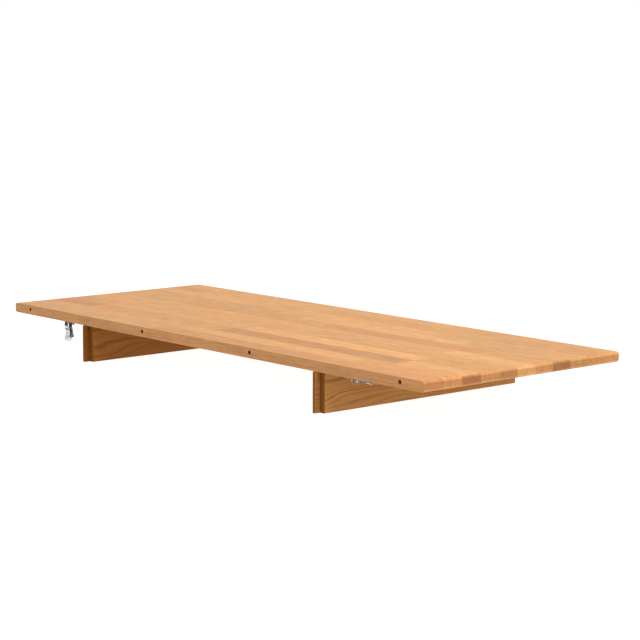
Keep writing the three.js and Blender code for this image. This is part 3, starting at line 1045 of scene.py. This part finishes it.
@dataclass
class Catch:
    """A toggle catch of pressed steel: base, pin, lever and wire bail, with its two screws.

    Its parts are drawn about the lever's pivot, hanging straight down, then turned to where they rest.
    """

    side: str
    lever_tilt: float  # degrees, 0 hanging and 90 folded back under the panel
    bail_tilt: float
    sheet: float = 1.2
    pivot_drop: float = 5.2
    plate_width: float = 16.0
    plate_front: float = -5.0
    plate_rear: float = 28.0
    rail_round: float = 2.9
    rail_rear: float = 7.0
    rail_outer: float = 6.9
    pin_radius: float = 1.3
    tongue_width: float = 11.5
    tongue_drop: float = 10.8
    tongue_behind: float = 11.4
    lever_width: float = 17.0
    lever_round: float = 3.6
    lever_length: float = 31.0
    web: float = 4.5  # pivot to the outside of the lever's front wall
    web_start: float = 5.0
    curl: float = 5.4
    bail_drop: float = 7.0
    wire: float = 1.2
    wire_facets: int = 5
    bow: float = 4.4  # how far back the bail's legs bow
    bow_at: float = 0.4  # where they bow most, as a share of their length
    bow_start: float = 0.1  # how far back they begin
    eye: float = 0.9  # reach of the turn from a turned-in end to its leg
    eye_drop: float = 1.6  # how far that turn drops, as a share of its reach
    wire_corner: float = 3.0
    bend_steps: int = 8
    side_gap: float = 0.7
    gap: float = 0.4
    play: float = 0.2  # around a pin or a wire in its hole
    short: float = 0.1  # how far a pin or a wire ends inside the wall's face
    tip_gap: float = 1.0  # between the finger tab and the bail's crossbar
    pin_eased: float = 0.3
    corner: float = 1.5
    wide_corner: float = 3.0
    neck: float = 1.0  # where the lever's side wall widens to its front wall
    bend_at: float = 0.76  # share of the lever above its bend
    bend: float = 5.0  # reach of the bend's rounding
    bend_inside: float = 0.6  # how much lower the bend starts on the inside
    wall_foot: float = 0.6
    lip: float = 0.3
    slope: Pair = (0.6, 0.8)  # direction across the finger tab's thickness

    def __post_init__(self) -> None:
        """Takes the pivot's place from the frame, and fits the bail around the finger tab."""
        low, high = box_mm(f"{self.side}_catch_pin")
        self.pivot = (low + high) / 2
        tip = (self.web + self.curl, self.lever_length + self.sheet - self.bail_drop)
        self.bail_length = math.hypot(*tip) + self.tip_gap + self.wire

    def rested(self, shape: Shape, tilt: float = 0.0, drop: float = 0.0) -> Shape:
        """Turns a part to its rest tilt and carries it to the catch.

        Args:
            shape: the part, drawn hanging.
            tilt: of the part, in degrees.
            drop: how far down the lever its own pivot is.

        Returns:
            The shape in place.
        """
        swing = Matrix.Rotation(math.radians(self.lever_tilt), 4, "X")
        own_pivot = self.pivot + swing @ Vector((0, 0, -drop))
        return shape.moved(Matrix.Translation(own_pivot) @ Matrix.Rotation(math.radians(tilt), 4, "X"))

    def base(self) -> Shape:
        """Base plate with two rails and a tongue pressed down from it.

        Returns:
            The base's shape.
        """
        half, under = self.plate_width / 2, self.pivot_drop - self.sheet
        front, rear = self.plate_front, self.plate_rear
        ends = [(-half, front, self.corner), (half, front, self.corner),
                (half, rear, self.wide_corner), (-half, rear, self.wide_corner)]
        shape = Shape().plate(ends, Plane.XY, under, self.sheet)
        r, rear, middle = self.rail_round, self.rail_rear, under + self.sheet / 2
        rail = [(-r, middle, 0), (-r, -r, r * NEAR_FULL), (rear, -r, r * NEAR_FULL), (rear, middle, 0)]
        for start in (-self.rail_outer, self.rail_outer - self.sheet):
            shape.merged(Shape().plate(rail, Plane.YZ, start, self.sheet))
        wide, low = self.tongue_width / 2, self.pivot_drop - self.tongue_drop
        tongue = [(-wide, middle, 0), (-wide, low, self.corner), (wide, low, self.corner), (wide, middle, 0)]
        shape.merged(Shape().plate(tongue, Plane.XZ, self.tongue_behind, self.sheet))
        return self.rested(shape.carved(self._cross_hole(0, self.pin_radius)))

    def _cross_hole(self, drop: float, radius: float) -> Shape:
        """Cutter of a hole across the catch, that far below the pivot, for a pin or wire of that radius."""
        wide = self.lever_width
        return Shape().rod((-wide, 0, -drop), (2 * wide, 0, 0), radius + self.play)

    def pin(self) -> Shape:
        """Rivet pin across the catch, its ends eased.

        Returns:
            The pin's shape.
        """
        half = self.lever_width / 2 - self.short
        shape = Shape().rod((-half, 0, 0), (2 * half, 0, 0), self.pin_radius)
        rims = [e for e in shape.bm.edges if abs(e.verts[0].co.x - e.verts[1].co.x) < WELD]
        rounded(shape.bm, rims, self.pin_eased, EASED_STEPS)
        return self.rested(shape)

    def lever(self) -> Shape:
        """Lever of bent sheet: two side walls, a front wall with a slot, and a curled finger tab.

        Returns:
            The lever's shape.
        """
        r, front, foot, start = self.lever_round, -self.web, -self.lever_length, -self.web_start
        inner, bend, tip = front + self.sheet, foot * self.bend_at, front - self.curl
        wall = [
            (r, r, r * NEAR_FULL), (-r, r, r * NEAR_FULL), (-r, -self.neck, self.neck),
            (front, start, self.neck), (front, bend, self.bend), (front - self.sheet, foot + self.sheet, 0),
            (-self.wall_foot, foot, 0), (r, foot, self.wide_corner)]
        web = [
            (inner, start, 0), (front, start, 0), (front, bend, self.bend), (tip, foot, self.lip),
            (tip + self.slope[0] * self.sheet, foot - self.slope[1] * self.sheet, self.lip),
            (inner, bend - self.bend_inside, self.bend)]
        half = self.lever_width / 2
        shape = Shape().plate(wall, Plane.YZ, -half, self.sheet)
        shape.merged(Shape().plate(wall, Plane.YZ, half - self.sheet, self.sheet))
        shape.merged(Shape().plate(web, Plane.YZ, -half, self.lever_width))
        shape.carved(self._cross_hole(0, self.pin_radius))
        shape.carved(self._cross_hole(self.bail_drop, self.wire))
        wide = self.tongue_width / 2 + self.gap
        low, high = -(self.tongue_behind + self.sheet + 2 * self.gap), self.gap - self.tongue_behind
        shape.carved(Shape().box((-wide, front - PAST, low), (wide, inner + PAST, high)))
        return self.rested(shape, self.lever_tilt)

    def bail(self) -> Shape:
        """Bent wire loop, its two ends turned in through the lever's walls.

        Returns:
            The bail's shape.
        """
        leg = self.lever_width / 2 + self.side_gap + self.wire
        stub = self.lever_width / 2 - self.sheet + self.short
        foot, turn, corner = -self.bail_length, self.eye, self.wire_corner
        half = [
            (stub, 0, 0), (leg - turn, 0, 0), (leg, self.bow_start, -turn * self.eye_drop),
            (leg, self.bow, foot * self.bow_at), (leg, turn, foot + corner), (leg - corner, 0, foot),
            (0, 0, foot)]
        path = bpy.data.curves.new("bail", "CURVE")
        path.dimensions = "3D"
        path.bevel_depth = self.wire
        path.bevel_resolution = self.wire_facets
        path.use_fill_caps = True
        path.resolution_u = self.bend_steps
        spline = path.splines.new("BEZIER")
        places = half + [(-x, y, z) for x, y, z in half[-2::-1]]
        spline.bezier_points.add(len(places) - 1)
        for knot, place in zip(spline.bezier_points, places):
            knot.co = place
            knot.handle_left_type = knot.handle_right_type = "AUTO"
        return self.rested(Shape().wire(path), self.bail_tilt, self.bail_drop)

    def dress(self, plated: Material, wire: Material, steel: Material) -> None:
        """Builds every part in its finish.

        Args:
            plated: the pressed sheet's finish.
            wire: the bail's.
            steel: the pin's and screws'.
        """
        name = f"{self.side}_catch"
        fit(self.base().piece(f"{name}_base_plate", plated, 0.18), "leaf", "plated_steel", f"{name}_base")
        fit(self.pin().piece(f"{name}_rivet_pin", steel), "leaf", "screw_steel", f"{name}_pin")
        lever = self.lever().piece(f"{name}_lever_arm", plated, 0.18)
        fit(lever, f"{self.side}_lever", "plated_steel", f"{name}_lever")
        fit(self.bail().piece(f"{name}_bail_wire", wire), f"{self.side}_bail", "bail_wire", f"{name}_bail")
        for place in ("front", "rear"):
            Screw(f"{name}_{place}_screw", radius=1.5, head_height=1.8, pitch=1.1).dress(steel)


# ---- studio


@dataclass
class Studio:
    """Pale floor, soft light and the camera."""

    floor_radius_m: float = 40.0
    floor_drop_m: float = 0.0003
    floor_sides: int = 96
    floor_cloud: Triple = (400.0, 400.0, 1.0)
    floor_greys: Pair = (0.2, 0.24)
    floor_rough: float = 0.9
    floor_glow: float = 0.94
    sky: float = 1.0
    lamps: tuple[tuple[str, Colour, float, float], ...] = (  # name, place and size in metres, watts
        ("overhead softbox", (2.9, -0.3, 2.2), 1.8, 72.0),
        ("front softbox", (-0.8, -3.2, 1.1), 1.4, 22.0))
    clip_m: Pair = (0.05, 200.0)
    lens_mm: float = 112.59
    sensor_mm: float = 36.0
    camera_m: Triple = (3.08239, -2.53853, 0.68511)
    down_deg: float = 8.2506
    turn_deg: float = 49.7346

    def floor(self) -> None:
        """Lays a plain pale floor that glows a little, as a lit sweep does, and hides nothing from below."""
        bench = Bench("pale floor")
        x, y, z = bench.place()
        cloud = bench.noise((x, y, z), self.floor_cloud)
        bench.dress(
            Base_Color=bench.mix(cloud, *((grey, grey, grey) for grey in self.floor_greys)),
            Roughness=self.floor_rough,
            Emission_Color=(1.0, 1.0, 1.0),
            Emission_Strength=self.floor_glow,
        )
        clear = bench.node("BsdfTransparent")
        back = bench.out(bench.node("NewGeometry"), "Backfacing")
        mixed = bench.node("MixShader", None, Fac=back)
        bench.tree.links.new(bench.shader.outputs[0], mixed.inputs[1])
        bench.tree.links.new(clear.outputs[0], mixed.inputs[2])
        bench.tree.links.new(mixed.outputs[0], bench.tree.nodes["Material Output"].inputs["Surface"])
        bm = bmesh.new()
        matrix = Matrix.Translation((0, 0, -self.floor_drop_m))
        bmesh.ops.create_circle(
            bm, cap_ends=True, segments=self.floor_sides, radius=self.floor_radius_m, matrix=matrix)
        mesh = bpy.data.meshes.new("studio_floor")
        bm.to_mesh(mesh)
        bm.free()
        mesh.materials.append(bench.material)
        stand("studio_floor", mesh)

    def lamp(self, name: str, place: Place, size: float, watts: float) -> None:
        """Hangs a soft square lamp that faces the leaf.

        Args:
            name: of the lamp.
            place: in metres.
            size: of its side, in metres.
            watts: its strength.
        """
        light = bpy.data.lights.new(name, "AREA")
        light.size = size
        light.energy = watts
        made = stand(name, light)
        made.location = place
        made.rotation_euler = (-Vector(place)).to_track_quat("-Z", "Y").to_euler()

    def light(self) -> None:
        """White surroundings with a soft lamp overhead and one from the front."""
        world = bpy.data.worlds.new("white studio")
        world.use_nodes = True
        world.node_tree.nodes["Background"].inputs["Color"].default_value = (1, 1, 1, 1)
        world.node_tree.nodes["Background"].inputs["Strength"].default_value = self.sky
        bpy.context.scene.world = world
        for lamp in self.lamps:
            self.lamp(*lamp)

    def camera(self) -> None:
        """Stands the camera."""
        lens = bpy.data.cameras.new("camera")
        lens.lens = self.lens_mm
        lens.sensor_width = self.sensor_mm
        lens.clip_start, lens.clip_end = self.clip_m
        made = stand("camera", lens)
        made.location = self.camera_m
        made.rotation_euler = (math.radians(90 - self.down_deg), 0, math.radians(self.turn_deg))
        bpy.context.scene.camera = made

    def build(self) -> None:
        """Sets up floor, light, camera and a plain colour transform."""
        self.floor()
        self.light()
        self.camera()
        bpy.context.scene.view_settings.view_transform = "Standard"


def main() -> None:
    """Builds the leaf and its studio."""
    logging.basicConfig(level=logging.INFO, format="%(name)s %(message)s")
    panel_oak = OakFinish(
        "oiled oak panel", Grain.LENGTHWISE,
        summer=(0.585, 0.294, 0.103), spring=(0.43, 0.198, 0.062), pore=(0.2, 0.082, 0.028),
        red=(0.525, 0.205, 0.078), pale=(0.62, 0.34, 0.153), figure=0.85).make()
    bearer_oak = OakFinish(
        "oiled oak bearer", Grain.CROSSWISE,
        summer=(0.41, 0.20, 0.058), spring=(0.19, 0.078, 0.014), pore=(0.11, 0.042, 0.008),
        red=(0.33, 0.105, 0.008), pale=(0.42, 0.225, 0.07), figure=1.4, ring=7.5, wander=26.0,
        tone_reach=0.35, streak=0.4).make()
    plated = SteelFinish("zinc plated steel", (0.55, 0.55, 0.555), (0.4, 0.405, 0.41), 0.3, wall=0.72).make()
    wire = SteelFinish("plated wire", (0.5, 0.495, 0.485), (0.36, 0.355, 0.35), 0.3, wall=0.8).make()
    steel = SteelFinish("screw steel", (0.42, 0.41, 0.39), (0.28, 0.275, 0.26), 0.32, wall=0.0).make()

    Studio().build()
    GluedPanel(*box_mm("top_panel")).dress(panel_oak)
    # the left bearer's darker, redder tone and warmth are painted shade
    left = Bearer(
        "left", *box_mm("left_bearer"), tone=-0.9, warmth=0.6, end_dark=0.48, log_shift=(900.0, -38.0, 395.0))
    right = Bearer("right", *box_mm("right_bearer"), log_shift=(2300.0, -30.0, -430.0))
    for bearer in (left, right):
        bearer.dress(bearer_oak, steel)
    Catch("left", lever_tilt=10, bail_tilt=-6).dress(plated, wire, steel)
    Catch("right", lever_tilt=90, bail_tilt=74).dress(plated, wire, steel)


if __name__ == "__main__":
    main()
